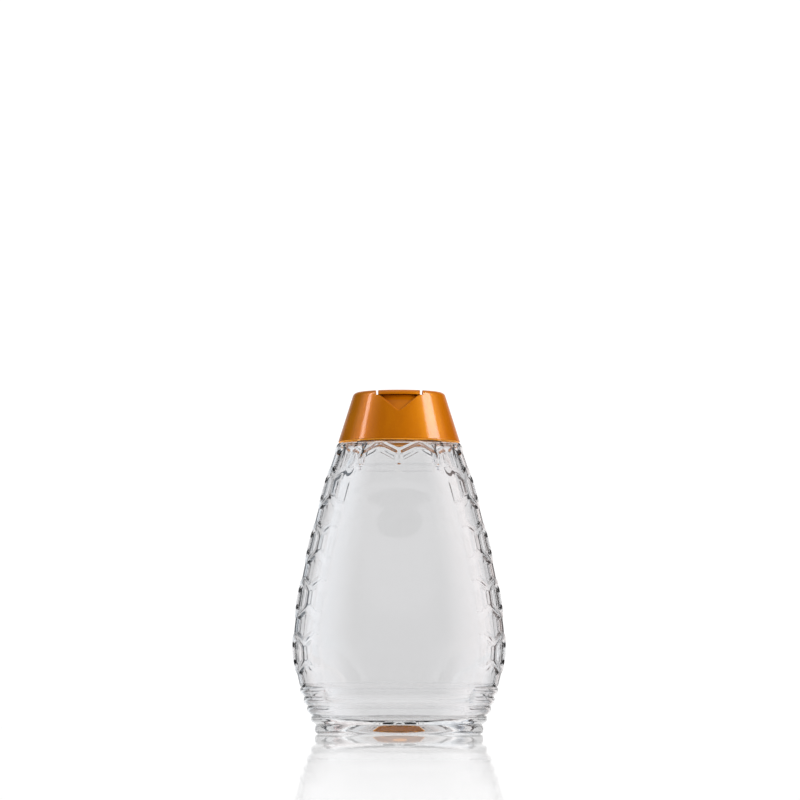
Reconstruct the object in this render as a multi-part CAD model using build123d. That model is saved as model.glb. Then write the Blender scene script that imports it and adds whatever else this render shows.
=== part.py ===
from build123d import *
from math import atan2, copysign, cos, pi, radians, sin
import os

# Clear squeeze bottle for honey with honeycomb sides and an oval flip-top cap.
# Sizes are in millimetres. The origin is on the floor under the middle of the bottle,
# +Z is up and the front of the bottle, with the thumb notch of the cap, faces -Y.

# Blown body, from the floor to the shoulder under the cap
body_height = 120.7
body_half_width = 44.5
body_half_depth = 29.2
wall = 1.2
shoulder_radius = 1.0
# How far the shoulder stands out past the foot of the cap
shoulder_ledge = 0.6
# Angle from the side line at which the end arc of every oval passes into its front arc. An oval
# too slim for it has end arcs of the least radius, a share of its half depth, and turns later.
oval_turn_angle = 46.5
slim_end_share = 0.3
# Height above the stepped foot, and how far the half width and the half depth have swelled
# from the shoulder's size to the body's own
body_section_shares = (
    (0.000, 0.848, 1.000),
    (0.079, 0.947, 0.955),
    (0.191, 1.000, 0.890),
    (0.314, 0.935, 0.813),
    (0.480, 0.773, 0.717),
    (0.632, 0.577, 0.626),
    (0.756, 0.403, 0.562),
    (0.870, 0.224, 0.484),
    (0.951, 0.076, 0.279),
    (1.000, 0.000, 0.000),
)

# Stepped foot: rounded rings, each set in from the one above
foot_height = 19.4
foot_inset = 6.3
step_round = 1.2
body_overhang = 0.5
step_inset_shares = (1.0, 0.73, 0.46, 0.24, 0.0)

# Underside: a standing ring round a pushed-up middle
standing_ring_width = 5.0
push_up_height = 6.8
push_up_half_width = 10.0
push_up_half_depth = 8.0
base_wall = 1.2

# Honeycomb of sunken panes on both ends of the body
cell_width = 13.2
cell_rib = 4.4
pane_depth = 0.8
pane_bevel_angle = 50
cell_column_count = 3
top_row_drop = 7.4

# House-shaped panes over the front and the back label panels
roof_pane_width = 12.4
roof_pane_wall = 2.6
roof_pane_rise = 4.0
roof_pane_foot_drop = 8.1
roof_pane_depth = 0.6

# Label panels, sunk between the borders of the honeycomb
panel_depth = 0.5
panel_top_drop = 9.4
panel_foot_gap = 1.6
panel_corner_radius = 3.0

# Threaded neck
neck_radius = 14.85
neck_bore_radius = 12.95
neck_height = 12.7
neck_lip_round = 0.4
thread_pitch = 4.23
thread_turns = 1.25
thread_rise = 1.2
thread_root_width = 2.4
thread_crest_width = 1.0
thread_top_gap = 2.1

# Cap body
cap_height = 20.9
cap_half_width = 25.5
cap_half_depth = 22.2
cap_top_half_width = 18.9
cap_top_half_depth = 16.4
cap_edge_radius = 2.0
cap_wall = 1.2
cap_shoulder_gap = 0.4
deck_thickness = 1.5
skirt_wall = 1.3
skirt_foot_gap = 0.9
cap_thread_rise = 1.2
cap_thread_root_width = 2.2
cap_thread_crest_width = 0.8
seal_ring_wall = 1.6

# Lid strip let into the top of the cap, and the slot and well under it
lid_half_width = 8.7
lid_thickness = 1.9
lid_side_gap = 0.85
lid_under_gap = 0.2
well_front_wall = 3.8
well_back_wall = 1.8
plug_wall = 1.0
plug_depth = 2.0

# Thumb notch in the front of the cap, under the lip of the lid
notch_end_gap = 0.5
notch_height = 7.1
notch_depth = 2.6
notch_foot_depth = 1.0
notch_apex_round = 1.2

# Rounded edges of the cap: its foot, the rims of the slot, the notch and the lid
cap_foot_round = 0.4
slot_rim_round = 0.35
notch_edge_round = 0.65
lid_edge_round = 0.35

# Pouring boss with its valve
boss_radius = 8.0
boss_lid_gap = 0.8
boss_lip_thickness = 1.1
orifice_radius = 4.2
valve_bore_radius = 6.4
valve_radius = 6.2
valve_rim_width = 1.8
valve_rim_thickness = 1.3
valve_skin = 0.6
valve_dish = 0.5
slit_length = 5.6
slit_width = 0.2
retainer_radius = 6.35
retainer_hole_radius = 4.4
retainer_thickness = 2.0

# Folded straps of the living hinge at the back
strap_width = 3.6
strap_spacing = 10.4
strap_radius = 1.2
strap_thickness = 0.35

# Sealing wad between the neck and the cap
liner_thickness = 1.0
liner_bore_radius = 12.2

# Running clearances
thread_gap = 0.35
plug_gap = 0.2
liner_edge_gap = 0.4
overrun = 1.0

# Heights that follow from the sizes above
step_count = len(step_inset_shares)
step_height = foot_height / step_count
neck_top = body_height + neck_height
cap_foot = body_height + cap_shoulder_gap
cap_top = cap_foot + cap_height
deck_foot = neck_top + liner_thickness
deck_top = deck_foot + deck_thickness
lid_foot = cap_top - lid_thickness
slot_floor = lid_foot - lid_under_gap
boss_top = lid_foot - boss_lid_gap
notch_half_width = lid_half_width - notch_end_gap
boss_lip_foot = boss_top - boss_lip_thickness
skirt_bore_radius = neck_radius + cap_thread_rise + thread_gap
top_row = body_height - top_row_drop
row_pitch = cell_width * cos(radians(30))
row_count = 1 + int((top_row - foot_height) / row_pitch)


# Ovals of four tangent arcs

def oval_arcs(half_width, half_depth):
    # End radius, front radius, and the angle that each half of an end arc covers
    turn = radians(oval_turn_angle)
    apart = (half_width - half_depth) / (sin(turn) + cos(turn) - 1)
    end = half_width - apart * cos(turn)
    slim_end = slim_end_share * half_depth
    if end < slim_end:
        out, rise = half_width - slim_end, half_depth - slim_end
        back = (out**2 - rise**2) / (2 * rise)
        return slim_end, half_depth + back, atan2(back, out)
    return end, half_depth + apart * sin(turn), turn


def oval(half_width, half_depth, height):
    end, front, turn = oval_arcs(half_width, half_depth)
    x = half_width - end + end * cos(turn)
    y = end * sin(turn)
    with BuildLine(Plane.XY.offset(height)) as outline:
        ThreePointArc((x, -y), (half_width, 0), (x, y))
        ThreePointArc((x, y), (0, half_depth), (-x, y))
        ThreePointArc((-x, y), (-half_width, 0), (-x, -y))
        ThreePointArc((-x, -y), (0, -half_depth), (x, -y))
    return make_face(outline.line)


def oval_point(half_width, half_depth, along):
    # Point at a distance along the oval from its right-hand end, positive towards the back
    end, front, turn = oval_arcs(half_width, half_depth)
    if abs(along) <= end * turn:
        angle = along / end
        return half_width - end + end * cos(angle), end * sin(angle)
    angle = turn + (abs(along) - end * turn) / front
    return front * cos(angle), copysign(half_depth - front + front * sin(angle), along)


def quarter_length(half_width, half_depth):
    end, front, turn = oval_arcs(half_width, half_depth)
    return end * turn + front * (pi / 2 - turn)


def ring(outer_radius, inner_radius, foot, top):
    height = top - foot
    tube = Cylinder(outer_radius, height) - Cylinder(inner_radius, height)
    return Pos(0, 0, foot + height / 2) * tube


def disc(radius, foot, top):
    return Pos(0, 0, (foot + top) / 2) * Cylinder(radius, top - foot)


def slab(half_width, front, back, foot, top):
    middle = Pos(0, (front + back) / 2, (foot + top) / 2)
    return middle * Box(2 * half_width, back - front, top - foot)


# Blown body

def body_sections():
    # Height, half width and half depth of each section over the foot
    rise = body_height - foot_height
    shoulder_width = cap_half_width + shoulder_ledge
    shoulder_depth = cap_half_depth + shoulder_ledge
    swell_width = body_half_width - shoulder_width
    swell_depth = body_half_depth - shoulder_depth
    return [
        (foot_height + up * rise, shoulder_width + wide * swell_width, shoulder_depth + deep * swell_depth)
        for up, wide, deep in body_section_shares
    ]


def section_at(height):
    sections = body_sections()
    for low, high in zip(sections, sections[1:]):
        if height <= high[0]:
            break
    share = (height - low[0]) / (high[0] - low[0])
    return tuple(low[k] + share * (high[k] - low[k]) for k in (1, 2))


def step_sizes():
    # Half width and half depth of each ring of the foot, from the floor up
    foot_width, foot_depth = body_sections()[0][1:]
    sizes = []
    for share in step_inset_shares:
        inset = body_overhang + share * foot_inset
        sizes.append((foot_width - inset, foot_depth - inset))
    return sizes


def body_loft(inset):
    # Smooth body over the foot, set in by the same amount all round
    return loft([oval(wide - inset, deep - inset, height) for height, wide, deep in body_sections()])


def body_skin():
    skin = body_loft(0)
    return fillet(skin.faces().sort_by(Axis.Z)[-1].edges(), shoulder_radius)


def stepped_foot():
    steps = []
    for index, (wide, deep) in enumerate(step_sizes()):
        step = extrude(oval(wide, deep, index * step_height), step_height)
        edges = step.faces().sort_by(Axis.Z)[-1].edges() + step.faces().sort_by(Axis.Z)[0].edges()
        steps.append(fillet(edges, step_round))
    return steps


def push_up(grown):
    # Space pushed up into the base, grown on its sides and top for the inside of the wall
    wide, deep = step_sizes()[0]
    inset = step_round + standing_ring_width - grown
    mouth = oval(wide - inset, deep - inset, 0)
    crown = oval(push_up_half_width + grown, push_up_half_depth + grown, push_up_height + grown)
    return loft([mouth, crown], ruled=True)


def cavity():
    # Inside of the body, smooth, with the push-up standing in it
    steps = step_sizes()
    inset = step_round + wall
    floor_inset = inset + base_wall
    faces = [oval(steps[0][0] - floor_inset, steps[0][1] - floor_inset, base_wall)]
    for index, (wide, deep) in enumerate(steps):
        faces.append(oval(wide - inset, deep - inset, (index + 1) * step_height))
    rim = foot_height + wall
    wide, deep = section_at(rim)
    faces.append(oval(wide - wall, deep - wall, rim))
    middle = slab(body_half_width, -body_half_depth, body_half_depth, rim, body_height - wall)
    return loft(faces, ruled=True) + (body_loft(wall) & middle) - push_up(base_wall)


# Sunken panes

def clip(outline, x_share, y_share, limit):
    # The piece of a convex outline where x_share * x + y_share * y is at most the limit
    kept = []
    for (x0, y0), (x1, y1) in zip(outline, outline[1:] + outline[:1]):
        before = x_share * x0 + y_share * y0 - limit
        after = x_share * x1 + y_share * y1 - limit
        if before <= 0:
            kept.append((x0, y0))
        if before * after < 0:
            share = before / (before - after)
            kept.append((x0 + share * (x1 - x0), y0 + share * (y1 - y0)))
    return kept


def hexagon():
    # Floor of a full pane, with one corner up
    corner = (cell_width - cell_rib) / 2 / cos(radians(30))
    return [(corner * cos(radians(30 + 60 * k)), corner * sin(radians(30 + 60 * k))) for k in range(6)]


def pane_seats():
    # Height, distance along the section from the right-hand end, and floor outline of each pane
    seats = []
    border = cell_column_count / 2 * cell_width - cell_rib / 2
    lowest = foot_height + step_round
    for row in range(row_count):
        height = top_row - row * row_pitch
        columns = cell_column_count + row % 2
        for column in range(columns):
            along = (column - (columns - 1) / 2) * cell_width
            outline = clip(hexagon(), 1, 0, border - along)
            outline = clip(outline, -1, 0, border + along)
            outline = clip(outline, 0, -1, height - lowest)
            seats.append((height, along, outline))
    return seats


def roof_pane_seats():
    # The same for the house-shaped panes right of the middle of the front and the back
    half = roof_pane_width / 2
    middle = body_height - roof_pane_foot_drop + roof_pane_wall / 2
    foot = -roof_pane_wall / 2
    eaves = roof_pane_wall / 2
    outline = [(-half, foot), (half, foot), (half, eaves), (0, eaves + roof_pane_rise), (-half, eaves)]
    along = quarter_length(*section_at(middle)) - (roof_pane_width + cell_rib) / 2
    return [(middle, sign * along, outline) for sign in (-1, 1)]


def pane_tool(skin, height, along, outline, depth):
    # Tapered block with a flat floor, set square to the skin
    x, y = oval_point(*section_at(height), along)
    hits = skin.find_intersection_points(Axis((0, 0, height), (x, y, 0)))
    point, normal = max(hits, key=lambda hit: hit[0].X * x + hit[0].Y * y)
    seat = Plane(point - normal * depth, x_dir=(-normal.Y, normal.X, 0), z_dir=normal)
    with BuildSketch(seat) as floor:
        Polygon(*outline, align=None)
    return extrude(floor.sketch, depth + overrun, taper=-pane_bevel_angle)


def panel_tool():
    # Block over the front label panel, between the borders of the honeycomb
    foot = foot_height + panel_foot_gap
    top = body_height - panel_top_drop
    border = cell_column_count / 2 * cell_width
    heights = [foot] + [height for height, wide, deep in body_sections() if foot < height < top] + [top]
    edge = [(oval_point(*section_at(height), border)[0], height) for height in heights]
    with BuildSketch(Plane.XZ) as face:
        with BuildLine():
            Spline(*edge)
            Line(edge[-1], (-edge[-1][0], top))
            Spline(*[(-x, height) for x, height in reversed(edge)])
            Line((-edge[0][0], foot), edge[0])
        make_face()
        fillet(face.vertices(), panel_corner_radius)
    return extrude(face.sketch, body_half_depth + overrun) - body_loft(panel_depth)


def sunk_tools(skin):
    # Everything that is sunk into the skin
    right = [pane_tool(skin, *seat, pane_depth) for seat in pane_seats()]
    right += [pane_tool(skin, *seat, roof_pane_depth) for seat in roof_pane_seats()]
    panel = panel_tool()
    return right + [tool.mirror(Plane.YZ) for tool in right] + [panel, panel.mirror(Plane.XZ)]


# Neck and its thread

def thread(radius, foot, rise, root_width, crest_width, root_side):
    # One helical ridge, turned outwards with root_side 1 and inwards with -1
    path = Pos(0, 0, foot) * Helix(thread_pitch, thread_turns * thread_pitch, radius)
    seat = Plane(origin=path @ 0, x_dir=(root_side, 0, 0), z_dir=path % 0)
    buried = rise / 4
    with BuildSketch(seat) as profile:
        Polygon(
            (-buried, -root_width / 2),
            (0, -root_width / 2),
            (rise, -crest_width / 2),
            (rise, crest_width / 2),
            (0, root_width / 2),
            (-buried, root_width / 2),
            align=None,
        )
    return sweep(profile.sketch, path=path, is_frenet=True)


def neck_thread_foot():
    return neck_top - thread_top_gap - thread_turns * thread_pitch


def neck():
    tube = disc(neck_radius, body_height - shoulder_radius, neck_top)
    tube = fillet(tube.faces().sort_by(Axis.Z)[-1].edges(), neck_lip_round)
    ridge = thread(
        neck_radius, neck_thread_foot(), thread_rise, thread_root_width, thread_crest_width, 1
    )
    return tube + ridge


def bottle():
    skin = body_skin()
    bore = disc(neck_bore_radius, body_height - wall - overrun, neck_top + overrun)
    hollow = skin + stepped_foot() + neck() - cavity() - bore - push_up(0)
    return hollow - sunk_tools(skin)


# Cap body

def cap_blank():
    # Solid outside of the closed cap
    foot = oval(cap_half_width, cap_half_depth, cap_foot)
    top = oval(cap_top_half_width, cap_top_half_depth, cap_top)
    blank = loft([foot, top], ruled=True)
    blank = fillet(blank.faces().sort_by(Axis.Z)[-1].edges(), cap_edge_radius)
    return fillet(blank.faces().sort_by(Axis.Z)[0].edges(), cap_foot_round)


def cap_oval_at(height, inset):
    # Section of the cap's outside at a height, set in all round
    share = (height - cap_foot) / cap_height
    wide = cap_half_width + share * (cap_top_half_width - cap_half_width)
    return oval(wide - inset, cap_side_at(height) - inset, height)


def cap_side_at(height):
    # Half depth of the cap's outside at a height
    share = (height - cap_foot) / cap_height
    return cap_half_depth + share * (cap_top_half_depth - cap_half_depth)


def cap_core():
    # Hollow under the cap, open at its foot, round the skirt, the seal ring and the well
    ceiling = cap_top - cap_wall
    foot = oval(cap_half_width - cap_wall, cap_half_depth - cap_wall, cap_foot)
    top_inset = cap_wall + cap_edge_radius / 4
    top = oval(cap_top_half_width - top_inset, cap_top_half_depth - top_inset, ceiling)
    core = loft([foot, top], ruled=True)
    well_block = slab(
        lid_half_width + lid_side_gap + cap_wall, -cap_half_depth, cap_half_depth, deck_foot, cap_top
    )
    skirt = ring(skirt_bore_radius + skirt_wall, skirt_bore_radius, cap_foot + skirt_foot_gap, cap_top)
    seal_ring = ring(neck_bore_radius + seal_ring_wall, neck_bore_radius, deck_foot, cap_top)
    return core - well_block - skirt - seal_ring


def lid_well():
    # Well under the slot, for the pouring boss and the plug of the lid
    front = well_front_wall - cap_side_at(slot_floor)
    back = cap_side_at(slot_floor) - well_back_wall
    return slab(lid_half_width + lid_side_gap, front, back, deck_top, slot_floor + overrun)


def thumb_notch():
    # V with a rounded foot, over a floor that sinks deeper towards the lip of the lid
    apex = lid_foot - notch_height
    with BuildSketch(Plane.XZ.offset(cap_half_depth + overrun)) as face:
        Polygon((-notch_half_width, lid_foot), (0, apex), (notch_half_width, lid_foot), align=None)
        fillet(face.vertices().sort_by(Axis.Y)[0], notch_apex_round)
    prism = extrude(face.sketch, -cap_half_depth)
    floor = [cap_oval_at(apex, notch_foot_depth), cap_oval_at(lid_foot, notch_depth)]
    return prism - loft(floor, ruled=True)


def cap_outside():
    # Blank with the notch and the slot for the lid cut in, and their edges rounded
    notched = cap_blank() - thumb_notch()
    holes = [hole for face in notched.faces() for hole in face.inner_wires()]
    notched = fillet(holes[0].edges().sort_by(Axis.Z)[:-1], notch_edge_round)
    half_width = lid_half_width + lid_side_gap
    slot = slab(half_width, -cap_half_depth, cap_half_depth, slot_floor, cap_top + overrun)
    slotted = notched - slot
    walls = slotted.faces().filter_by(Axis.X)
    rims = [edge for wall_face in walls for edge in wall_face.edges().sort_by(Axis.Z)[1:]]
    return fillet(rims, slot_rim_round)


def pouring_boss():
    boss = disc(boss_radius, deck_foot, boss_top)
    bore = disc(valve_bore_radius, deck_foot - overrun, boss_lip_foot)
    orifice = disc(orifice_radius, deck_foot, boss_top + overrun)
    return boss, bore + orifice


def cap_body():
    boss, passage = pouring_boss()
    ridge = thread(
        skirt_bore_radius,
        neck_thread_foot() - thread_pitch / 2,
        cap_thread_rise,
        cap_thread_root_width,
        cap_thread_crest_width,
        -1,
    )
    bore = disc(skirt_bore_radius, cap_foot - overrun, deck_foot)
    return cap_outside() - cap_core() - lid_well() - bore + boss - passage + ridge


# Pieces carried by the cap

def flip_lid():
    strip = cap_blank() & slab(lid_half_width, -cap_half_depth, cap_half_depth, lid_foot, cap_top)
    sides = strip.faces().filter_by(Axis.X)
    edges = [edge for side in sides for edge in side.edges().sort_by(Axis.Z)[1:]]
    strip = fillet(edges, lid_edge_round)
    outer = orifice_radius - plug_gap
    return strip + ring(outer, outer - plug_wall, lid_foot - plug_depth, lid_foot)


def silicone_valve():
    # Rim clamped under the lip of the boss, round a skin that dips in the middle, with a cross slit
    foot = boss_lip_foot - valve_rim_thickness
    inner = valve_radius - valve_rim_width
    rim = ring(valve_radius, inner, foot, boss_lip_foot)
    dip = [(0, foot), (inner / 2, foot + valve_dish / 4), (inner, foot + valve_dish)]
    with BuildSketch(Plane.XZ) as half:
        with BuildLine():
            ThreePointArc(*dip)
            Line(dip[2], (inner, foot + valve_dish + valve_skin))
            ThreePointArc(*[(x, z + valve_skin) for x, z in dip])
            Line((0, foot + valve_skin), dip[0])
        make_face()
    skin = revolve(half.sketch, Axis.Z)
    slit = Pos(0, 0, foot + valve_rim_thickness / 2) * Box(slit_length, slit_width, 2 * valve_rim_thickness)
    return rim + skin - slit - slit.rotate(Axis.Z, 90)


def valve_retainer():
    top = boss_lip_foot - valve_rim_thickness
    return ring(retainer_radius, retainer_hole_radius, top - retainer_thickness, top)


def living_hinge():
    # Two folded straps from the back of the cap to the back of the lid
    height = (lid_foot + slot_floor) / 2
    back = cap_side_at(height)
    fold = Pos(0, back, height) * Rot(0, 90, 0) * (
        Cylinder(strap_radius, strap_width) - Cylinder(strap_radius - strap_thickness, strap_width)
    )
    folds = [Pos(side * strap_spacing / 2, 0, 0) * fold for side in (-1, 1)]
    return [strap - cap_blank() for strap in folds]


def sealing_liner():
    return ring(skirt_bore_radius - liner_edge_gap, liner_bore_radius, neck_top, deck_foot)


pieces = {
    "bottle": bottle(),
    "cap_body": cap_body(),
    "flip_lid": flip_lid(),
    "living_hinge": Compound(living_hinge()),
    "silicone_valve": silicone_valve(),
    "valve_retainer": valve_retainer(),
    "sealing_liner": sealing_liner(),
}

os.makedirs("parts", exist_ok=True)
for name, piece in pieces.items():
    export_step(piece, f"parts/{name}.step")
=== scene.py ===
import math

import bmesh
import bpy
import numpy as np
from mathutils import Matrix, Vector


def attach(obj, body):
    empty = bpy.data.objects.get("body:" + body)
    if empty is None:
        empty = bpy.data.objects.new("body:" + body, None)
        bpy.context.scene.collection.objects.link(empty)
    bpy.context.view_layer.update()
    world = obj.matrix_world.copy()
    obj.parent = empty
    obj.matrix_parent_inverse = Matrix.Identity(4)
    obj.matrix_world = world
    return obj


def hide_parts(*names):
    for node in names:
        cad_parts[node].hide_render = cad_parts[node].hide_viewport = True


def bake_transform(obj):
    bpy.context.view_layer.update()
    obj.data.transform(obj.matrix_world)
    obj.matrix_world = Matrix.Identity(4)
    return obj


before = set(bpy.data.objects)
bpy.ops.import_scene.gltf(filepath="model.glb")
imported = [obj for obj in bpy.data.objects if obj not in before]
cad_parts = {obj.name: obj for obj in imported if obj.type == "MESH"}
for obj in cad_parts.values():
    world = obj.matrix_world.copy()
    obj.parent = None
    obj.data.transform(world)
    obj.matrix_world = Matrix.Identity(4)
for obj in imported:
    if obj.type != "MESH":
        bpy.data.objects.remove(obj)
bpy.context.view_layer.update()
mm = 0.001
black = (0.0, 0.0, 0.0, 1.0)
white = (1.0, 1.0, 1.0, 1.0)
print("frame loaded:", len(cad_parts), "nodes")


# Shader maths: a socket that can be added and scaled like a number

class Wire:
    def __init__(self, tree, socket=None):
        self.tree = tree
        self.socket = socket

    def node(self, kind, settings=None, inputs=None, output=0):
        made = self.tree.nodes.new(kind)
        for name, value in (settings or {}).items():
            if name == "stops":
                setStops(made.color_ramp, value)
            else:
                setattr(made, name, value)
        for name, value in (inputs or {}).items():
            if isinstance(value, Wire):
                self.tree.links.new(value.socket, made.inputs[name])
            else:
                made.inputs[name].default_value = value
        return Wire(self.tree, made.outputs[output]) if len(made.outputs) else None

    def maths(self, operation, first, second, clamp=False):
        settings = {"operation": operation, "use_clamp": clamp}
        return self.node("ShaderNodeMath", settings, {0: first, 1: second})

    def __add__(self, other):
        return self.maths("ADD", self, other)

    def __radd__(self, other):
        return self.maths("ADD", other, self)

    def __sub__(self, other):
        return self.maths("SUBTRACT", self, other)

    def __rsub__(self, other):
        return self.maths("SUBTRACT", other, self)

    def __mul__(self, other):
        return self.maths("MULTIPLY", self, other)

    def __rmul__(self, other):
        return self.maths("MULTIPLY", other, self)

    def __truediv__(self, other):
        return self.maths("DIVIDE", self, other)

    def clamped(self):
        return self.maths("ADD", self, 0.0, clamp=True)

    def mixed(self, low, high):
        # colour from low to high as this value goes from 0 to 1
        inputs = {0: self, 6: low, 7: high}
        return self.node("ShaderNodeMix", {"data_type": "RGBA"}, inputs, output=2)

    def vector(self, operation, second=None, output=0):
        inputs = {0: self} if second is None else {0: self, 1: second}
        return self.node("ShaderNodeVectorMath", {"operation": operation}, inputs, output)

    def level(self):
        # the same vector without its height
        return self.vector("MULTIPLY", (1.0, 1.0, 0.0))

    def part(self, axis):
        return self.node("ShaderNodeSeparateXYZ", None, {0: self}, axis)


def setStops(ramp, stops):
    # stops are (place, brightness) or (place, colour)
    while len(ramp.elements) < len(stops):
        ramp.elements.new(1.0)
    for element, (place, value) in zip(ramp.elements, stops):
        element.position = place
        element.color = value if isinstance(value, tuple) else (value, value, value, 1.0)


def newMaterial(name):
    material = bpy.data.materials.new(name)
    material.use_nodes = True
    material.node_tree.nodes.clear()
    return material, Wire(material.node_tree)


def finishMaterial(wire, inputs):
    # one Principled shader straight into the output
    shader = wire.node("ShaderNodeBsdfPrincipled", None, inputs)
    wire.node("ShaderNodeOutputMaterial", None, {"Surface": shader})


def objectPoint(wire, stretch=(1.0, 1.0, 1.0)):
    # place on the piece in metres, stretched along its axes
    return wire.node("ShaderNodeTexCoord", output=3).vector("MULTIPLY", stretch)


def noise(wire, place, perMetre, detail=2.0, roughness=0.5):
    inputs = {"Vector": place, "Scale": perMetre, "Detail": detail, "Roughness": roughness}
    return wire.node("ShaderNodeTexNoise", None, inputs)


def bump(wire, height, distance):
    return wire.node("ShaderNodeBump", None, {"Height": height, "Distance": distance})


# Clear blown plastic of the bottle

petLook = {
    "tints": ((0.84, 0.84, 0.845, 1.0), (0.8316, 0.8316, 0.83655, 1.0)),
    "roughness": 0.003,
    "roughnessSpread": 0.004,
    "ior": 1.57,
    "waveScale": 55.0,  # slow waves of a blown wall
    "waveHeight": 0.00003,
    "skinScale": 900.0,
}


def clearPet():
    look = petLook
    material, wire = newMaterial("clearPet")
    place = objectPoint(wire)
    waves = noise(wire, place, look["waveScale"], 1.0)
    skin = noise(wire, place, look["skinScale"])
    finishMaterial(wire, {
        "Base Color": skin.mixed(*look["tints"]),
        "Roughness": look["roughness"] + look["roughnessSpread"] * skin,
        "Transmission Weight": 1.0,
        "IOR": look["ior"],
        "Normal": bump(wire, waves, look["waveHeight"]),
    })
    return material


# Pearlescent orange of the cap

capLook = {
    "bodyTints": ((0.44, 0.118, 0.0, 1.0), (0.54, 0.165, 0.0, 1.0)),
    "flowScale": 70.0,
    "flowStretch": (1.0, 1.0, 0.35),
    "flowStart": 0.35,
    "flowGain": 2.6,
    "flakeTint": (0.85, 0.36, 0.005, 1.0),
    "flakeScale": 5200.0,
    "flakeStart": 0.62,
    "flakeGain": 9.0,
    "flakeShare": 0.4,
    "grainScale": 1500.0,
    "grainHeight": 0.000012,
    "roughness": 0.36,
    "flakeRoughness": -0.06,
    "grainRoughness": 0.05,
    "metallic": 0.15,
    "flakeMetallic": 0.25,
    "coat": 0.36,
    "coatRoughness": 0.11,
    "coatIor": 1.55,
    # painted glow, an emission standing in for light coming through the plastic: round the cap's
    # foot, and a share of it on the inside
    "glow": (0.95, 0.38, 0.03, 1.0),
    "glowTop": 0.126,
    "glowFade": 400.0,
    "innerGlow": 0.3,
    "insideTop": 0.1346,
    "insideFade": 4000.0,
    "inwardGain": 60.0,
}


def capPlastic():
    look = capLook
    material, wire = newMaterial("pearlOrange")
    place = objectPoint(wire)
    flow = noise(wire, objectPoint(wire, look["flowStretch"]), look["flowScale"], 3.0, 0.55)
    flakes = noise(wire, place, look["flakeScale"], 1.0)
    grain = noise(wire, place, look["grainScale"])
    pearl = ((flakes - look["flakeStart"]) * look["flakeGain"]).clamped()
    body = ((flow - look["flowStart"]) * look["flowGain"]).clamped().mixed(*look["bodyTints"])

    facing = wire.node("ShaderNodeTexCoord", output=1)
    height = place.part(2)
    outward = place.level().vector("DOT_PRODUCT", facing, output=1)
    # where the painted glow goes: downward faces round the cap's foot, and a share on downward
    # inward faces lower inside
    under = (-0.5 - facing.part(2)).clamped() * 2.0
    foot = ((look["glowTop"] - height) * look["glowFade"]).clamped()
    inside = (under - outward * look["inwardGain"]).clamped()
    low = ((look["insideTop"] - height) * look["insideFade"]).clamped()
    lit = (under * foot + inside * low * look["innerGlow"]).clamped()
    matt = look["roughness"] + look["flakeRoughness"] * pearl
    finishMaterial(wire, {
        "Base Color": (look["flakeShare"] * pearl).mixed(body, look["flakeTint"]),
        "Metallic": look["metallic"] + look["flakeMetallic"] * pearl,
        "Roughness": matt + look["grainRoughness"] * grain,
        "Specular IOR Level": 0.0,
        "Coat Weight": look["coat"],
        "Coat Roughness": look["coatRoughness"],
        "Coat IOR": look["coatIor"],
        # painted glow: emission on those faces, though the cap is no lamp
        "Emission Color": lit.mixed(black, look["glow"]),
        "Emission Strength": 1.0,
        "Normal": bump(wire, grain, look["grainHeight"]),
    })
    return material


# Small pieces inside the cap: slit valve, its ring and the liner

valveLook = {
    "tints": ((0.80, 0.80, 0.78, 1.0), (0.88, 0.88, 0.86, 1.0)),
    "cloudScale": 400.0,
    "roughness": 0.38,
    "roughnessSpread": 0.12,
    "transmission": 0.35,
    "ior": 1.41,
    "grainScale": 3000.0,
    "grainHeight": 0.00001,
}


def siliconeRubber():
    look = valveLook
    material, wire = newMaterial("valveSilicone")
    place = objectPoint(wire)
    cloud = noise(wire, place, look["cloudScale"])
    finishMaterial(wire, {
        "Base Color": cloud.mixed(*look["tints"]),
        "Roughness": look["roughness"] + look["roughnessSpread"] * cloud,
        "Transmission Weight": look["transmission"],
        "IOR": look["ior"],
        "Normal": bump(wire, noise(wire, place, look["grainScale"], 1.0), look["grainHeight"]),
    })
    return material


retainerLook = {
    "tints": ((0.80, 0.80, 0.78, 1.0), (0.87, 0.87, 0.85, 1.0)),
    "cloudScale": 600.0,
    "roughness": 0.42,
    "roughnessSpread": 0.1,
    "grainScale": 2500.0,
    "grainHeight": 0.00001,
}


def retainerPlastic():
    look = retainerLook
    material, wire = newMaterial("retainerWhite")
    place = objectPoint(wire)
    cloud = noise(wire, place, look["cloudScale"], 3.0)
    finishMaterial(wire, {
        "Base Color": cloud.mixed(*look["tints"]),
        "Roughness": look["roughness"] + look["roughnessSpread"] * cloud,
        "Normal": bump(wire, noise(wire, place, look["grainScale"]), look["grainHeight"]),
    })
    return material


linerLook = {
    "tints": ((0.84, 0.84, 0.81, 1.0), (0.92, 0.92, 0.90, 1.0)),
    "cellScale": 2600.0,
    "cellHeight": 0.00003,
    "roughness": 0.75,
    "roughnessSpread": 0.1,
}


def linerFoam():
    look = linerLook
    material, wire = newMaterial("linerFoam")
    inputs = {"Vector": objectPoint(wire), "Scale": look["cellScale"]}
    cells = wire.node("ShaderNodeTexVoronoi", None, inputs)
    finishMaterial(wire, {
        "Base Color": cells.mixed(*look["tints"]),
        "Roughness": look["roughness"] + look["roughnessSpread"] * cells,
        "Normal": bump(wire, cells, look["cellHeight"]),
    })
    return material


# Bottle: every section is an oval of four tangent arcs, given by its half width, its half
# depth and the distance along it from the side line. Sizes in the dictionaries are in mm.

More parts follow.
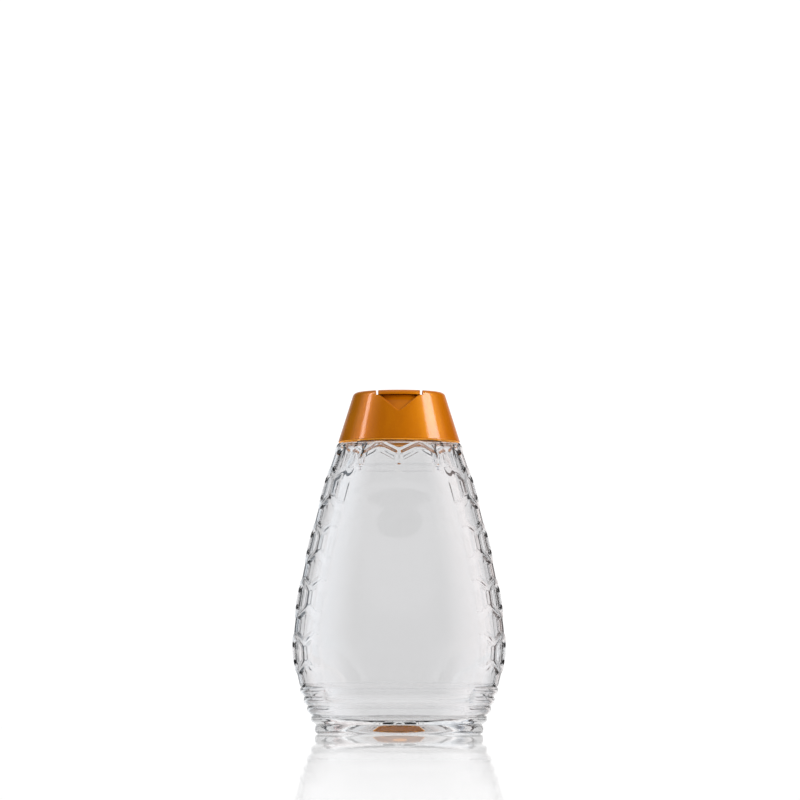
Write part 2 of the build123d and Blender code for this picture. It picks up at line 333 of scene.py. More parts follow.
bottleSizes = {
    "bodyHeight": 120.7,
    "halfWidth": 44.42,
    "halfDepth": 29.2,
    "shoulderHalfWidth": 26.1,
    "shoulderHalfDepth": 22.8,
    "ovalTurn": math.radians(46.5),
    "shoulderRound": 1.0,
    "wall": 0.9,
    "innerCorner": 0.6,
    "ceilingWall": 0.5,
    "ringFloor": 6.3,  # inside of the thick plastic over the standing ring
    "floorCornerHeight": 1.0,
    "floorCornerWidth": 1.6,
    "footHeight": 19.4,
    "footInset": 6.3,
    "footGroove": 0.4,
    "faceGroove": 0.15,  # share of the groove left over the faces
    "footOverhang": 0.5,
    "ringInsetShares": (1.0, 0.73, 0.46, 0.24, 0.0),
    "ringStep": 0.45,  # share of a ring's height over which it steps in
    "toeHeight": 1.2,
    "toeInset": 0.8,
    "heelInset": 1.2,
    "standingRing": 5.0,
    "pushUpHeight": 6.8,
    "pushUpHalfWidth": 10.0,
    "pushUpHalfDepth": 8.0,
    "skirtRise": 4.72,  # steep lower part of the pushed-up underside
    "skirtShare": 0.5,
    "skirtTurn": math.radians(76),  # its ovals are flatter at the front
    "baseWall": 1.2,
    "gateRadius": 1.4,
    "gateHeight": 0.5,
    # height over the foot, swell of the half width and swell of the half depth
    "bodyShares": (
        (0.000, 0.848, 1.000),
        (0.079, 0.947, 0.955),
        (0.191, 1.000, 0.890),
        (0.314, 0.935, 0.813),
        (0.480, 0.773, 0.717),
        (0.632, 0.577, 0.626),
        (0.756, 0.403, 0.562),
        (0.870, 0.224, 0.484),
        (0.951, 0.076, 0.279),
        (1.000, 0.000, 0.000),
    ),
}

honeycomb = {
    "cell": 13.2,  # flat to flat
    "topRow": 113.3,
    "bandHalf": 19.8,
    "ribHalf": 1.2,
    "bevel": 1.2,
    "edgeDepth": 0.52,
    "flatHalf": 4.2,
    "step": 0.6,  # grid step along the section, so that every rib edge falls on the grid
    "rowStep": 0.6 * math.tan(math.radians(30)),
    "innerShare": 0.25,  # of the depth, on the inside of the wall
    "innerFade": 6.0,
    "innerBlur": 0.7,
    "fadeStart": 9.0,
    "fadeShare": 0.6,
    "seamHeight": 0.07,  # parting line of the mould
    "seamHalf": 0.35,
}

crown = {
    # the zigzag rib rises and falls one grid row for each column over the front
    "columns": 12,  # in half a house
    "houseHalf": 8.3,
    "peakRow": 19,  # in grid rows over the middle of the top cells
    "ribRows": 1,
    "bevelRows": 2,
    "postColumns": 1,
    "postBevelColumns": 1,
    "depth": 0.6,
}

labelPanel = {
    "top": 111.2,
    "foot": 12.7,
    "depth": 0.38,
    "topBevel": 1.6,
    "sideBevel": 5.0,
    "footBevel": 3.0,
    "border": 20.2,
}

neckSizes = {
    "radius": 14.85,
    "bore": 12.95,
    "height": 12.7,
    "lipRound": 0.4,
    "threadPitch": 4.23,
    "threadTurns": 1.25,
    "threadRise": 1.2,
    "threadRoot": 2.4,
    "threadCrest": 1.0,
    "threadTopGap": 2.1,
    "threadEnd": 0.04,  # of a turn
}


def ovalArcs(halfWidth, halfDepth, turn=bottleSizes["ovalTurn"]):
    # radii of the arcs at the ends and at the front
    apart = (halfWidth - halfDepth) / (math.sin(turn) + math.cos(turn) - 1)
    return halfWidth - apart * math.cos(turn), halfDepth + apart * math.sin(turn)


def quarterLength(halfWidth, halfDepth, turn=bottleSizes["ovalTurn"]):
    end, front = ovalArcs(halfWidth, halfDepth, turn)
    return end * turn + front * (math.pi / 2 - turn)


def ovalPoints(halfWidth, halfDepth, along, inset, turn=bottleSizes["ovalTurn"]):
    # points of a quarter section at the distances along it, moved inwards by inset
    end, front = ovalArcs(halfWidth, halfDepth, turn)
    onEnd = along <= end * turn
    angle = np.where(onEnd, along / end, turn + (along - end * turn) / front)
    cosine, sine = np.cos(angle), np.sin(angle)
    x = np.where(onEnd, halfWidth - end + (end - inset) * cosine, (front - inset) * cosine)
    y = np.where(onEnd, (end - inset) * sine, halfDepth - front + (front - inset) * sine)
    return x, y


def smoothCurve(places, values, wanted):
    # cubic through the values with slopes from their neighbours
    slopes = np.gradient(values, places)
    k = np.clip(np.searchsorted(places, wanted) - 1, 0, len(places) - 2)
    width = places[k + 1] - places[k]
    t = (wanted - places[k]) / width
    low, high = values[k], values[k + 1]
    a, b = slopes[k] * width, slopes[k + 1] * width
    blend = t * t * (3 - 2 * t)
    return low + (high - low) * blend + a * t * (1 - t) ** 2 - b * t * t * (1 - t)


def bodySection(height):
    # half width and half depth of the body
    sizes = bottleSizes
    shares = np.array(sizes["bodyShares"])
    up = (height - sizes["footHeight"]) / (sizes["bodyHeight"] - sizes["footHeight"])
    up = np.clip(up, 0.0, 1.0)
    wide, deep = (np.clip(smoothCurve(shares[:, 0], shares[:, k], up), 0.0, 1.0) for k in (1, 2))
    topWide, topDeep = sizes["shoulderHalfWidth"], sizes["shoulderHalfDepth"]
    halfWidth = topWide + wide * (sizes["halfWidth"] - topWide)
    halfDepth = topDeep + deep * (sizes["halfDepth"] - topDeep)
    return float(halfWidth), float(halfDepth)


def ramp(value):
    return np.clip(value, 0.0, 1.0)


def softRamp(value):
    value = ramp(value)
    return value * value * (3 - 2 * value)


def cellField(along, height):
    # distance inwards from the nearest rib line, and the offset from the cell's middle
    cell = honeycomb["cell"]
    slant = math.cos(math.radians(30))
    pitch = cell * slant
    best = np.full(np.broadcast(along, height).shape, 1e9)
    across, up = np.zeros_like(best), np.zeros_like(best)
    lowRow = np.floor((honeycomb["topRow"] - height) / pitch)
    for row in (lowRow, lowRow + 1):
        shift = np.where(row % 2 == 0, 0.0, cell / 2)
        du = along - shift - cell * np.round((along - shift) / cell)
        dz = height - (honeycomb["topRow"] - row * pitch)
        reach = np.maximum(np.abs(du), np.abs(du) / 2 + np.abs(dz) * slant)
        nearer = reach < best
        best = np.where(nearer, reach, best)
        across, up = np.where(nearer, du, across), np.where(nearer, dz, up)
    return cell / 2 - best, across, up


def crownLine(along, quarter):
    # height of the zigzag rib over a distance along the section
    cell, rowStep = honeycomb["cell"], honeycomb["rowStep"]
    sidePeak = honeycomb["topRow"] + cell / math.sqrt(3)
    frontPeak = honeycomb["topRow"] + crown["peakRow"] * rowStep
    valley = frontPeak - crown["columns"] * rowStep
    half = crown["houseHalf"]
    fromFront = quarter - along
    fromPeak = np.abs((along + cell / 2) % cell - cell / 2)
    side = sidePeak - (sidePeak - valley) * fromPeak / (cell / 2)
    reach = ramp((fromFront - 2 * half) / (quarter - 2 * half - cell))
    outer = valley + (sidePeak - valley) * reach
    front = frontPeak - (frontPeak - valley) * np.abs(fromFront - half) / half
    line = np.where(along <= cell, side, outer)
    return np.where(fromFront < 2 * half, front, line)


def risingEdges(along, quarter, height):
    # whether the nearest slanting edge rises along the section
    across, up = cellField(along, height)[1:]
    towardsPeak = quarter - along > crown["houseHalf"]
    return np.where(along <= honeycomb["bandHalf"], across * up < 0, towardsPeak)


def crownRelief(fromFront, height, topLine):
    # share of the full depth in the panes above and below the zigzag over the front
    rowStep = honeycomb["rowStep"]
    column = crown["houseHalf"] / crown["columns"]
    rib, bevel = crown["ribRows"] * rowStep, crown["bevelRows"] * rowStep
    above = ramp((height - topLine - rib) / bevel)
    roof = ramp((topLine - height - rib) / bevel)
    fromPost = np.minimum(fromFront, np.abs(2 * crown["houseHalf"] - fromFront))
    beside = fromPost - crown["postColumns"] * column
    walls = ramp(beside / (crown["postBevelColumns"] * column))
    return np.maximum(above, np.minimum(roof, walls))


def panelShare(along):
    # share of the label panel's depth over the distance along the section
    return softRamp((along - labelPanel["border"]) / labelPanel["sideBevel"])


def relief(along, quarter, height, curve):
    # how far the surface is sunk at each point of the body
    cells = honeycomb
    edge = np.minimum(cellField(along, height)[0], cells["bandHalf"] - along)
    topLine = crownLine(along, quarter)
    slope = math.cos(math.atan(0.5))
    fromTop = np.where(along > cells["cell"], (topLine - height) * slope, 99.0)
    sag = np.maximum(cells["flatHalf"] ** 2 - cellField(along, height)[1] ** 2, 0.0) / (2 * curve)
    amount = ramp((np.minimum(edge, np.abs(fromTop)) - cells["ribHalf"]) / cells["bevel"])
    fadeAcross = softRamp((along - cells["fadeStart"]) / cells["fadeStart"])
    fadeDown = ramp((cells["topRow"] - cells["cell"] / 2 - height) / cells["cell"])
    fade = 1 - cells["fadeShare"] * fadeAcross * fadeDown
    pane = amount * (cells["edgeDepth"] + sag) * fade
    sunk = crown["depth"] * crownRelief(quarter - along, height, topLine)
    below = softRamp((labelPanel["top"] - height) / labelPanel["topBevel"])
    beyond = sunk + (labelPanel["depth"] * panelShare(along) - sunk) * below
    seam = cells["seamHeight"] * np.exp(-((along / cells["seamHalf"]) ** 2))
    return np.where(along <= cells["bandHalf"], pane, beyond) - seam


def footInset(height, faceShare, grooveShare=1.0):
    # inset of the foot's rounded rings, which fade into a straight taper over the faces
    sizes = bottleSizes
    shares = sizes["ringInsetShares"]
    up = height / sizes["footHeight"]
    ring = min(int(up * len(shares)), len(shares) - 1)
    inRing = up * len(shares) - ring
    last = shares[max(ring - 1, 0)]
    stepped = last + (shares[ring] - last) * float(softRamp(inRing / sizes["ringStep"]))
    groove = sizes["footGroove"] * grooveShare * abs(2 * inRing - 1) ** 6
    toe = sizes["toeInset"] * float(ramp(1 - height / sizes["toeHeight"])) ** 2
    rounded = stepped * sizes["footInset"] + groove + toe
    straight = (1 - up) * sizes["footInset"] + sizes["faceGroove"] * groove + toe
    return sizes["footOverhang"] + rounded + (straight - rounded) * faceShare


def undersideHeight(share):
    # height of the underside from the pushed-up middle to the standing ring: dome, then skirt
    rise, skirt = bottleSizes["skirtRise"], bottleSizes["skirtShare"]
    if share > skirt:
        return rise * (1 - share) / (1 - skirt)
    return rise + (bottleSizes["pushUpHeight"] - rise) * (1 - share / skirt)


def footHeights():
    # nine rows on each ring of the foot, and its top
    rings, top = len(bottleSizes["ringInsetShares"]), bottleSizes["footHeight"]
    ups = (0.0, 0.05, 0.12, 0.2, 0.28, 0.37, 0.6, 0.8, 0.93)
    return [(ring + up) * (top / rings) for ring in range(rings) for up in ups] + [top]


def bodyHeights():
    # grid rows of the honeycomb from the foot to the shoulder
    sizes, rowStep, topRow = bottleSizes, honeycomb["rowStep"], honeycomb["topRow"]
    first = math.ceil((sizes["footHeight"] + 0.05 - topRow) / rowStep)
    last = math.floor((sizes["bodyHeight"] - sizes["shoulderRound"] - topRow) / rowStep)
    return topRow + rowStep * np.arange(first, last + 1)


gridColumns = {
    # share of the label panel's side bevel at each column over its border
    "borderShares": (0.06, 0.2, 0.35, 0.5, 0.65, 0.8, 1.0),
    "middle": 2,
    "frontExtra": 2,  # crown columns beyond the outer posts
    "frontSkip": 3,  # the body keeps every third of the crown's columns
}


def quarterColumns(quarter, inCrown=False):
    # distances along a quarter section: even over the honeycomb, then by the panel or the crown
    step, band = honeycomb["step"], honeycomb["bandHalf"]
    even = np.arange(0, round(band / step) + 1) * step
    border = labelPanel["border"] + labelPanel["sideBevel"] * np.array(gridColumns["borderShares"])
    column = crown["houseHalf"] / crown["columns"]
    count = 2 * crown["columns"] + gridColumns["frontExtra"]
    front = quarter - column * np.arange(count, -1, -1)
    low, high = (band, front[0]) if inCrown else (border[-1], front[gridColumns["frontExtra"]])
    between = np.arange(1, gridColumns["middle"] + 1) / (gridColumns["middle"] + 1)
    return np.concatenate([even, border, low + between * (high - low), front])


def keptColumns(zone):
    # which of those columns a zone of the surface uses
    bandCount = round(honeycomb["bandHalf"] / honeycomb["step"]) + 1
    frontCount = 2 * crown["columns"] + gridColumns["frontExtra"] + 1
    even, front = np.arange(bandCount), np.arange(frontCount)
    every = np.ones(len(gridColumns["borderShares"]), bool)
    middle = np.ones(gridColumns["middle"], bool)
    sparse = (front - gridColumns["frontExtra"]) % gridColumns["frontSkip"] == 0
    sparse &= front >= gridColumns["frontExtra"]
    if zone == "crown":
        return np.concatenate([even >= 0, ~every, middle, front >= 0])
    if zone == "body":
        return np.concatenate([even >= 0, every, middle, sparse])
    return np.concatenate([even % 3 == 0, every, middle, sparse])


def bodyRow(height, inCrown=False):
    # half sizes and quarter length of the body's section, its columns and their radii
    wide, deep = bodySection(height)
    quarter = quarterLength(wide, deep)
    along = quarterColumns(quarter, inCrown)
    end, front = ovalArcs(wide, deep)
    curve = np.where(along <= end * bottleSizes["ovalTurn"], end, front)
    return wide, deep, quarter, along, curve


def fullRing(x, y):
    # the four quarters of a section from one, as one closed row of points
    quarters = [
        (x[:-1], y[:-1]),
        (-x[:0:-1], y[:0:-1]),
        (-x[:-1], -y[:-1]),
        (x[:0:-1], -y[:0:-1]),
    ]
    return np.concatenate([q[0] for q in quarters]), np.concatenate([q[1] for q in quarters])


def threadRidge(x, y, height):
    # how far the screw thread stands out of the neck at each point
    sizes = neckSizes
    top = bottleSizes["bodyHeight"] + sizes["height"]
    foot = top - sizes["threadTopGap"] - sizes["threadTurns"] * sizes["threadPitch"]
    around = (np.arctan2(y, x) / (2 * math.pi)) % 1.0
    flank = (sizes["threadRoot"] - sizes["threadCrest"]) / 2
    ridge = np.zeros_like(around)
    for lap in (0, 1):
        turned = around + lap
        off = np.abs(height - foot - turned * sizes["threadPitch"])
        profile = ramp((sizes["threadRoot"] / 2 - off) / flank)
        start = ramp(turned / sizes["threadEnd"])
        end = ramp((sizes["threadTurns"] - turned) / sizes["threadEnd"])
        ridge = np.maximum(ridge, sizes["threadRise"] * profile * start * end)
    return ridge


class RowStack:
    # rows of points up and over a closed surface. All have the same columns, but a row may
    # leave columns out, and the faces then join the ones that it keeps.
    def __init__(self):
        self.rows = []
        self.flips = []
        self.kept = []

    def add(self, x, y, z, kept, flip=None):
        z = np.broadcast_to(z, x.shape)
        self.rows.append(np.stack([x, y, z], axis=1))
        self.flips.append(np.zeros(len(x), bool) if flip is None else flip)
        kept = fullRing(kept * 1.0, kept * 1.0)[1] != 0
        self.kept.append(np.maximum.accumulate(np.where(kept, np.arange(len(x)), 0)))

    def mesh(self, name, poles):
        # first and last rows close on the two poles
        columns = len(self.rows[0])
        points = np.concatenate(self.rows + [np.array(poles)])
        index = np.array([row * columns + kept for row, kept in enumerate(self.kept)])
        a, b = index[:-1], np.roll(index[:-1], -1, axis=1)
        c, d = np.roll(index[1:], -1, axis=1), index[1:]
        flip = np.array(self.flips[:-1])
        first = np.where(flip[..., None], np.stack([a, b, c], -1), np.stack([a, b, d], -1))
        second = np.where(flip[..., None], np.stack([a, c, d], -1), np.stack([b, c, d], -1))
        start, end = len(points) - 2, len(points) - 1
        low = np.stack([np.full(columns, start), np.roll(index[0], -1), index[0]], -1)
        high = np.stack([np.full(columns, end), index[-1], np.roll(index[-1], -1)], -1)
        faces = np.concatenate([low, first.reshape(-1, 3), second.reshape(-1, 3), high])
        whole = (faces != np.roll(faces, 1, axis=1)).all(axis=1)
        used, faces = np.unique(faces[whole], return_inverse=True)
        mesh = bpy.data.meshes.new(name)
        mesh.from_pydata((points[used] * mm).tolist(), [], faces.reshape(-1, 3).tolist())
        mesh.shade_smooth()
        mesh.update()
        return mesh


class BottleSkin(RowStack):
    # the whole bottle, from the middle of its underside up the outside and down the inside
    def __init__(self):
        super().__init__()
        sizes = bottleSizes
        self.footWide, self.footDeep = bodySection(sizes["footHeight"])
        footQuarter = quarterLength(self.footWide, self.footDeep)
        self.footAlong = quarterColumns(footQuarter)
        self.footShare = self.footAlong / footQuarter
        self.lowInset = sizes["footOverhang"] + sizes["footInset"]
        self.mouthInset = self.lowInset + sizes["heelInset"] + sizes["standingRing"]
        self.zones = {zone: keptColumns(zone) for zone in ("body", "crown", "plain")}

    def addOval(self, halfWidth, halfDepth, height, turn=bottleSizes["ovalTurn"]):
        along = self.footShare * quarterLength(halfWidth, halfDepth, turn)
        x, y = ovalPoints(halfWidth, halfDepth, along, 0.0, turn)
        self.add(*fullRing(x, y), height, self.zones["plain"])

    def addRound(self, radius, height, threaded=False):
        x, y = ovalPoints(radius, radius, self.footShare * quarterLength(radius, radius), 0.0)
        x, y = fullRing(x, y)
        if threaded:
            out = 1 + threadRidge(x, y, height) / neckSizes["radius"]
            x, y = x * out, y * out
        self.add(x, y, height, self.zones["plain"])

    def addMiddle(self, share, height):
        # over the pushed-up middle of the base
        self.addOval(
            bottleSizes["pushUpHalfWidth"] * share, bottleSizes["pushUpHalfDepth"] * share, height)

    def addSkirt(self, share, height):
        # between the pushed-up middle and the standing ring
        wide, deep = bottleSizes["pushUpHalfWidth"], bottleSizes["pushUpHalfDepth"]
        wide += share * (self.footWide - self.mouthInset - wide)
        deep += share * (self.footDeep - self.mouthInset - deep)
        self.addOval(wide, deep, height, bottleSizes["skirtTurn"])

    def addFoot(self, height, inset, wall=0.0):
        # the label panels run down over the upper rings
        lower = float(softRamp((height - labelPanel["foot"]) / labelPanel["footBevel"]))
        mask = panelShare(self.footAlong) * lower
        insets = inset * (1 - mask) + labelPanel["depth"] * mask + wall
        x, y = ovalPoints(self.footWide, self.footDeep, self.footAlong, insets)
        self.add(*fullRing(x, y), height, self.zones["plain"])

    def addUnderside(self):
        sizes = bottleSizes
        top, gate, gateTop = sizes["pushUpHeight"], sizes["gateRadius"], sizes["gateHeight"]
        for share in (0.35, 0.7, 0.9):
            self.addRound(gate * share, top - gateTop)
        self.addRound(gate, top - gateTop * 0.6)
        self.addRound(gate * 1.15, top)
        for share in (0.3, 0.55, 0.8, 0.93):
            self.addMiddle(share, top)
        for share in (0.0, 0.05, 0.2, 0.4, 0.48, 0.52, 0.56, 0.7, 0.85, 0.95, 0.99, 1.0):
            self.addSkirt(share, undersideHeight(share))
        outer = self.lowInset + sizes["toeInset"]
        for share in (0.6, 0.9):
            self.addFoot(0.0, self.mouthInset + share * (outer - self.mouthInset))

    def addRings(self):
        face = softRamp((self.footAlong - honeycomb["bandHalf"] / 2) / honeycomb["bandHalf"])
        for height in footHeights():
            self.addFoot(height, footInset(height, face))

    def addBody(self):
        # honeycomb, crown and label panels. The faces' diagonals follow the slanting ribs.
        grooveRound = bottleSizes["footGroove"]
        for height in bodyHeights():
            inCrown = height > labelPanel["top"] - labelPanel["topBevel"]
            wide, deep, quarter, along, curve = bodyRow(height, inCrown)
            depth = relief(along, quarter, height, curve)
            left = grooveRound - (height - bottleSizes["footHeight"])
            if left > 0:
                ledge = grooveRound - math.sqrt(grooveRound**2 - left**2)
                depth = depth + ledge * (1 - panelShare(along))
            x, y = ovalPoints(wide, deep, along, depth)
            centres = np.append((along[1:] + along[:-1]) / 2, quarter)
            rising = risingEdges(centres, quarter, height + honeycomb["rowStep"] / 2)
            flips = np.concatenate([rising[:-1], ~rising[-2::-1], rising[:-1], ~rising[-2::-1]])
            self.add(*fullRing(x, y), height, self.zones["crown" if inCrown else "body"], flips)
        return depth

    def addShoulder(self, depth):
        # rounds the last row of the body over to the flat top and goes in to the neck
        sizes, corner = bottleSizes, bottleSizes["shoulderRound"]
        wide, deep = sizes["shoulderHalfWidth"], sizes["shoulderHalfDepth"]
        along = quarterColumns(quarterLength(wide, deep), True)
        for turn in np.radians([15, 35, 55, 75, 90]):
            inset = corner * (1 - math.cos(turn)) + depth * math.cos(turn)
            height = sizes["bodyHeight"] - corner * (1 - math.sin(turn))
            x, y = ovalPoints(wide, deep, along, inset)
            self.add(*fullRing(x, y), height, self.zones["crown"])
        wide, deep, radius = wide - corner, deep - corner, neckSizes["radius"]
        for share in (0.3, 0.6, 0.85):
            across, through = wide + share * (radius - wide), deep + share * (radius - deep)
            self.addOval(across, through, sizes["bodyHeight"])

    def addNeck(self):
        # threaded outside, rounded lip and bore
        foot = bottleSizes["bodyHeight"]
        top = foot + neckSizes["height"]
        radius, bore, lip = neckSizes["radius"], neckSizes["bore"], neckSizes["lipRound"]
        for height in np.arange(foot + 0.05, top - lip, 0.4):
            self.addRound(radius, height, threaded=True)
        for turn in np.radians([0, 30, 60, 90]):
            self.addRound(radius - lip * (1 - math.cos(turn)), top - lip * (1 - math.sin(turn)))
        for turn in np.radians([90, 60, 30, 0]):
            self.addRound(bore + lip * (1 - math.cos(turn)), top - lip * (1 - math.sin(turn)))
        for height in np.linspace(top - 1.0, foot - 0.4, 12):
            self.addRound(bore, height)

    def addInnerShoulder(self, ceiling):
        sizes, bore = bottleSizes, neckSizes["bore"]
        wall, corner = sizes["wall"], sizes["innerCorner"]
        for share in (0.1, 0.4, 0.75, 1.0):
            wide = bore + share * (sizes["shoulderHalfWidth"] - wall - corner - bore)
            deep = bore + share * (sizes["shoulderHalfDepth"] - wall - corner - bore)
            self.addOval(wide, deep, ceiling)
        for turn in np.radians([18, 36, 54, 72]):
            height = ceiling - corner * (1 - math.cos(turn))
            wide, deep = bodySection(height)
            inset = wall + corner * (1 - math.sin(turn))
            self.addOval(wide - inset, deep - inset, height)

    def addInnerBody(self, ceiling):
        # a softer copy of the relief
        cells, reach = honeycomb, honeycomb["innerBlur"]
        for height in bodyHeights()[::-4]:
            if height > ceiling - bottleSizes["innerCorner"] * 0.95:
                continue
            wide, deep, quarter, along, curve = bodyRow(height)
            depth = sum(
                relief(np.abs(along + da), quarter, height + dz, curve)
                for da in (-reach, 0.0, reach)
                for dz in (-reach, 0.0, reach)
            ) / 9
            share = cells["innerShare"] * ramp((labelPanel["top"] - height) / cells["innerFade"])
            x, y = ovalPoints(wide, deep, along, bottleSizes["wall"] + share * depth)
            self.add(*fullRing(x, y), height, self.zones["body"])

    def addInnerFloor(self):
        # foot, rounded corner, level floor over the standing ring and pushed-up middle
        sizes = bottleSizes
        wall, floor, grown = sizes["wall"], sizes["ringFloor"], sizes["baseWall"]
        cornerHeight, cornerWidth = sizes["floorCornerHeight"], sizes["floorCornerWidth"]
        for height in footHeights()[::-2]:
            if height > floor + cornerHeight:
                self.addFoot(height, footInset(height, 1.0, 0.0), wall)
        for turn in np.radians([25, 55, 85]):
            height = floor + cornerHeight * (1 - math.sin(turn))
            inset = footInset(height, 1.0, 0.0) + wall + cornerWidth * (1 - math.cos(turn))
            self.addFoot(height, inset)
        for share in (0.64, 0.6, 0.56, 0.52, 0.48, 0.4, 0.3, 0.2, 0.05, 0.0):
            self.addSkirt(share, max(undersideHeight(share) + grown, floor))
        for share in (0.8, 0.5, 0.2):
            self.addMiddle(share, sizes["pushUpHeight"] + grown)


def bottleMesh():
    skin = BottleSkin()
    skin.addUnderside()
    skin.addRings()
    skin.addShoulder(skin.addBody())
    skin.addNeck()
    ceiling = bottleSizes["bodyHeight"] - bottleSizes["ceilingWall"]
    skin.addInnerShoulder(ceiling)
    skin.addInnerBody(ceiling)
    skin.addInnerFloor()
    top = bottleSizes["pushUpHeight"]
    low, high = top - bottleSizes["gateHeight"], top + bottleSizes["baseWall"]
    return skin.mesh("bottleSkin", [(0.0, 0.0, low), (0.0, 0.0, high)])


def newPiece(name, mesh, material):
    piece = bpy.data.objects.new(name, mesh)
    bpy.context.scene.collection.objects.link(piece)
    mesh.materials.append(material)
    return piece


def makeBottle(material):
    piece = newPiece("bottleSkin", bottleMesh(), material)
    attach(piece, "bottle")
    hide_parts("bottle")
    print("bottle:", len(piece.data.polygons), "faces")


def dress(node, material):
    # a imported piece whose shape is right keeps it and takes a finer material
    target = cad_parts[node]
    target.data.materials.clear()
    target.data.materials.append(material)
    return target


# Living hinge: two thin straps folded from the back of the cap to the back of the lid

hingeSizes = {
    "places": (-5.2, 5.2),
    "axisY": 16.955,
    "axisZ": 140.0,
    "radius": 1.15,
    "thickness": 0.35,
    "middleShare": 0.7,  # of the thickness, at the fold
    "edgeShare": 0.3,  # of the thickness, cut off the outer edges
    "half": 1.78,
    "waist": 0.108,  # narrower by this at the fold
    "startAngle": -78.0,  # from straight back, on the cap's wall
    "endAngle": 96.0,  # over the lid
    "steps": 20,
}


def hingeRing(bm, middleX, share):
    # six corners of the strap at a share of the way along the fold
    sizes = hingeSizes
    angle = math.radians(sizes["startAngle"] + share * (sizes["endAngle"] - sizes["startAngle"]))
    thin = sizes["middleShare"] + (1 - sizes["middleShare"]) * abs(2 * share - 1) ** 2
    outer = sizes["radius"]
    inner = outer - sizes["thickness"] * thin
    half = sizes["half"] - sizes["waist"] * math.sin(math.pi * share)
    edge = sizes["edgeShare"] * sizes["thickness"] * thin
    profile = (
        (-half, inner), (half, inner), (half, outer - edge),
        (half - edge, outer), (-half + edge, outer), (-half, outer - edge),
    )
    ring = []
    for across, reach in profile:
        y = sizes["axisY"] + reach * math.cos(angle)
        z = sizes["axisZ"] + reach * math.sin(angle)
        ring.append(bm.verts.new(((middleX + across) * mm, y * mm, z * mm)))
    return ring


def hingeStrap(bm, middleX):
    steps = hingeSizes["steps"]
    rings = [hingeRing(bm, middleX, step / steps) for step in range(steps + 1)]
    for low, high in zip(rings, rings[1:]):
        for k in range(len(low)):
            after = (k + 1) % len(low)
            bm.faces.new((low[k], low[after], high[after], high[k]))
    bm.faces.new(rings[0][::-1])
    bm.faces.new(rings[-1])


def makeHinge(material):
    bm = bmesh.new()
    for middleX in hingeSizes["places"]:
        hingeStrap(bm, middleX)
    bmesh.ops.recalc_face_normals(bm, faces=bm.faces)
    mesh = bpy.data.meshes.new("hingeStraps")
    bm.to_mesh(mesh)
    bm.free()
    for face in mesh.polygons:
        face.use_smooth = len(face.vertices) == 4
    piece = newPiece("hingeStraps", mesh, material)
    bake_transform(piece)
    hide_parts("living_hinge")
    return piece


# Studio: a glossy pale floor, a pale surround with darker zones, and soft lights on the cap

floorSizes = {
    "radius": 4.0,
    "corners": 96,
    "reach": 2.0,
    # mirror share over the distance from the bottle, in parts of the reach
    "mirror": ((0.0, 0.72), (0.30, 0.68), (0.42, 0.54), (0.54, 0.35), (0.61, 0.19), (0.66, 0.09)),
    "roughness": 0.012,
    "colour": (0.20, 0.20, 0.20, 1.0),
    "glow": 0.85,
}


def makeFloor():
    sizes = floorSizes
    angles = np.linspace(0, 2 * math.pi, sizes["corners"], endpoint=False)
    points = [(sizes["radius"] * math.cos(a), sizes["radius"] * math.sin(a), 0.0) for a in angles]
    mesh = bpy.data.meshes.new("floor")
    mesh.from_pydata(points, [], [list(range(len(points)))])
    material, wire = newMaterial("floorPaint")
    painted = wire.node("ShaderNodeBsdfDiffuse", None, {"Color": sizes["colour"]})
    glow = wire.node("ShaderNodeEmission", None, {"Strength": sizes["glow"]})
    matt = wire.node("ShaderNodeAddShader", None, {0: painted, 1: glow})
    shine = {"Color": white, "Roughness": sizes["roughness"]}
    gloss = wire.node("ShaderNodeBsdfGlossy", None, shine)
    away = objectPoint(wire).vector("LENGTH", output=1)
    mirror = wire.node("ShaderNodeValToRGB", {"stops": sizes["mirror"]}, {0: away / sizes["reach"]})
    mixed = wire.node("ShaderNodeMixShader", None, {0: mirror, 1: matt, 2: gloss})
    wire.node("ShaderNodeOutputMaterial", None, {"Surface": mixed})
    floor = newPiece("floor", mesh, material)


surround = {
    # place from the front to the back, and colour
    "stops": (
        (0.00, 0.04),
        (0.12, 0.06),
        (0.32, 1.6),
        (0.44, (1.9, 1.88, 1.86, 1.0)),
        (0.56, (1.0, 0.95, 0.95, 1.0)),
        (0.66, 0.06),
        (0.87, 0.08),
        (0.93, 0.80),
        (0.96, 1.10),
    ),
    # colour cast from left to right
    "casts": (
        (0.05, (0.78, 0.89, 1.0, 1.0)),
        (0.40, white),
        (0.60, white),
        (0.95, (1.0, 0.84, 0.81, 1.0)),
    ),
    # white overhead: start, gain and share of each veil over the height of the direction
    "veils": ((0.75, 5.0, 0.65), (0.3, 2.2, 0.25)),
}


def makeSurround():
    world = bpy.data.worlds.new("surround")
    world.use_nodes = True
    world.node_tree.nodes.clear()
    bpy.context.scene.world = world
    wire = Wire(world.node_tree)
    direction = wire.node("ShaderNodeTexCoord", output=0)
    bearing = direction.level().vector("NORMALIZE")
    fromFront = {0: 0.5 * bearing.part(1) + 0.5}
    fromLeft = {0: 0.5 * bearing.part(0) + 0.5}
    bright = wire.node("ShaderNodeValToRGB", {"stops": surround["stops"]}, fromFront)
    cast = wire.node("ShaderNodeValToRGB", {"stops": surround["casts"]}, fromLeft)
    up = direction.part(2)
    high, middle = (
        ((up - start) * gain).clamped() * share for start, gain, share in surround["veils"])
    colour = (high + middle).mixed(bright.vector("MULTIPLY", cast), white)
    light = wire.node("ShaderNodeBackground", None, {"Color": colour, "Strength": 1.0})
    wire.node("ShaderNodeOutputWorld", None, {"Surface": light})


lampPlace = {
    "distance": 0.95,
    "height": 0.45,
    "aim": (0.0, 0.0, 0.10),
}

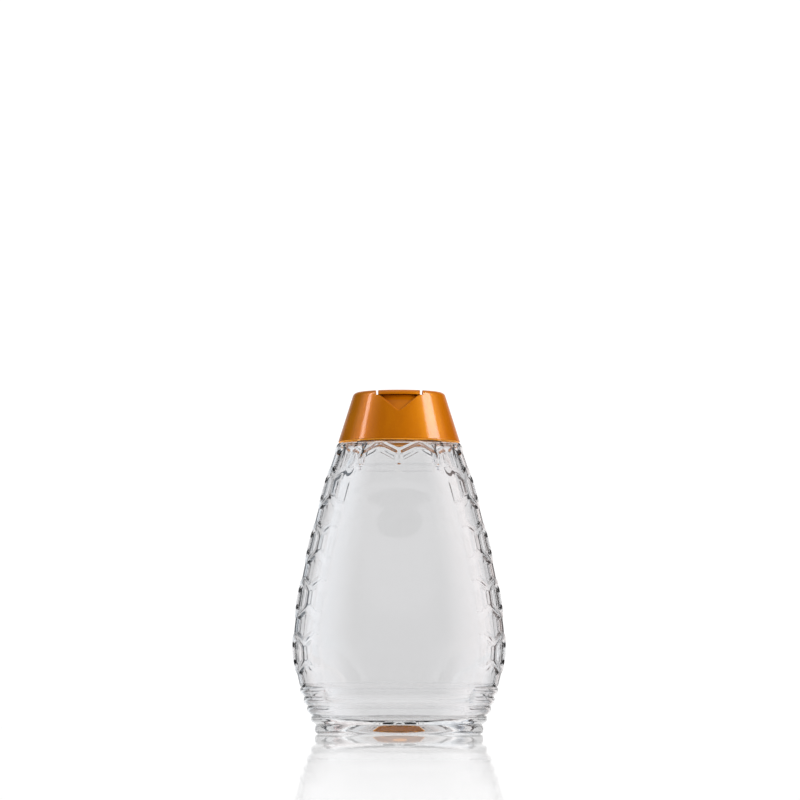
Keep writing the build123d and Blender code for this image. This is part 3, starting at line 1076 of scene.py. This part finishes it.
softLights = {
    # name: (bearing from the front in degrees, width, tall, watts, colour, mirrored)
    "rightSoftbox": (69, 0.36, 1.0, 23.0, (0.42, 0.70, 0.92), True),
    "leftSoftbox": (-74, 0.12, 1.0, 6.5, (1.0, 0.90, 0.86), True),
    "rightFill": (40, 0.6, 0.6, 7.4, (1.0, 0.90, 0.86), False),
}


def makeLights(lit):
    # they light the cap alone, as the clear body takes its light from the surround
    aimed = bpy.data.collections.new("litByStrips")
    for piece in lit:
        aimed.objects.link(piece)
    away = lampPlace["distance"]
    for name, (bearing, width, tall, watts, colour, mirrored) in softLights.items():
        data = bpy.data.lights.new(name, "AREA")
        data.shape = "RECTANGLE"
        data.size, data.size_y, data.energy = width, tall, watts
        data.color = colour
        lamp = bpy.data.objects.new(name, data)
        bpy.context.scene.collection.objects.link(lamp)
        turn = math.radians(bearing)
        lamp.location = (away * math.sin(turn), -away * math.cos(turn), lampPlace["height"])
        aim = Vector(lampPlace["aim"]) - lamp.location
        lamp.rotation_euler = aim.to_track_quat("-Z", "Y").to_euler()
        lamp.visible_camera = False
        lamp.visible_glossy = mirrored
        lamp.visible_diffuse = not mirrored
        lamp.light_linking.receiver_collection = aimed


# Camera at the photograph's place: low, far and tilted up, with the bottle under the middle

photoView = {
    "millimetresPerPixel": 0.41826,
    "pictureSide": 800,
    "floorPixel": (399.1, 732.5),
    "distance": 1.45,
    "eyeHeight": 0.004,
    "sensor": 36.0,
}


def makeCamera():
    view = photoView
    data = bpy.data.cameras.new("camera")
    camera = bpy.data.objects.new("camera", data)
    bpy.context.scene.collection.objects.link(camera)
    bpy.context.scene.camera = camera
    perPixel = view["millimetresPerPixel"] * mm
    middle = view["pictureSide"] / 2
    aimX = (middle - view["floorPixel"][0]) * perPixel
    aimZ = (view["floorPixel"][1] - middle) * perPixel
    camera.location = (aimX, -view["distance"], view["eyeHeight"])
    aim = Vector((aimX, 0.0, aimZ)) - camera.location
    camera.rotation_euler = aim.to_track_quat("-Z", "Y").to_euler()
    data.sensor_width = view["sensor"]
    data.lens = view["sensor"] * aim.length / (view["pictureSide"] * perPixel)
    data.clip_start, data.clip_end = 0.05, 50.0


makeCamera()
makeFloor()
makeSurround()
print("studio ready")

makeBottle(clearPet())
orange = capPlastic()
straps = makeHinge(orange)
makeLights([dress("cap_body", orange), dress("flip_lid", orange), straps])
dress("silicone_valve", siliconeRubber())
dress("valve_retainer", retainerPlastic())
dress("sealing_liner", linerFoam())
print("cap dressed")

bpy.context.scene.view_settings.view_transform = "Standard"
bpy.context.scene.cycles.max_bounces = 32
bpy.context.scene.cycles.transmission_bounces = 32
bpy.context.scene.cycles.glossy_bounces = 8
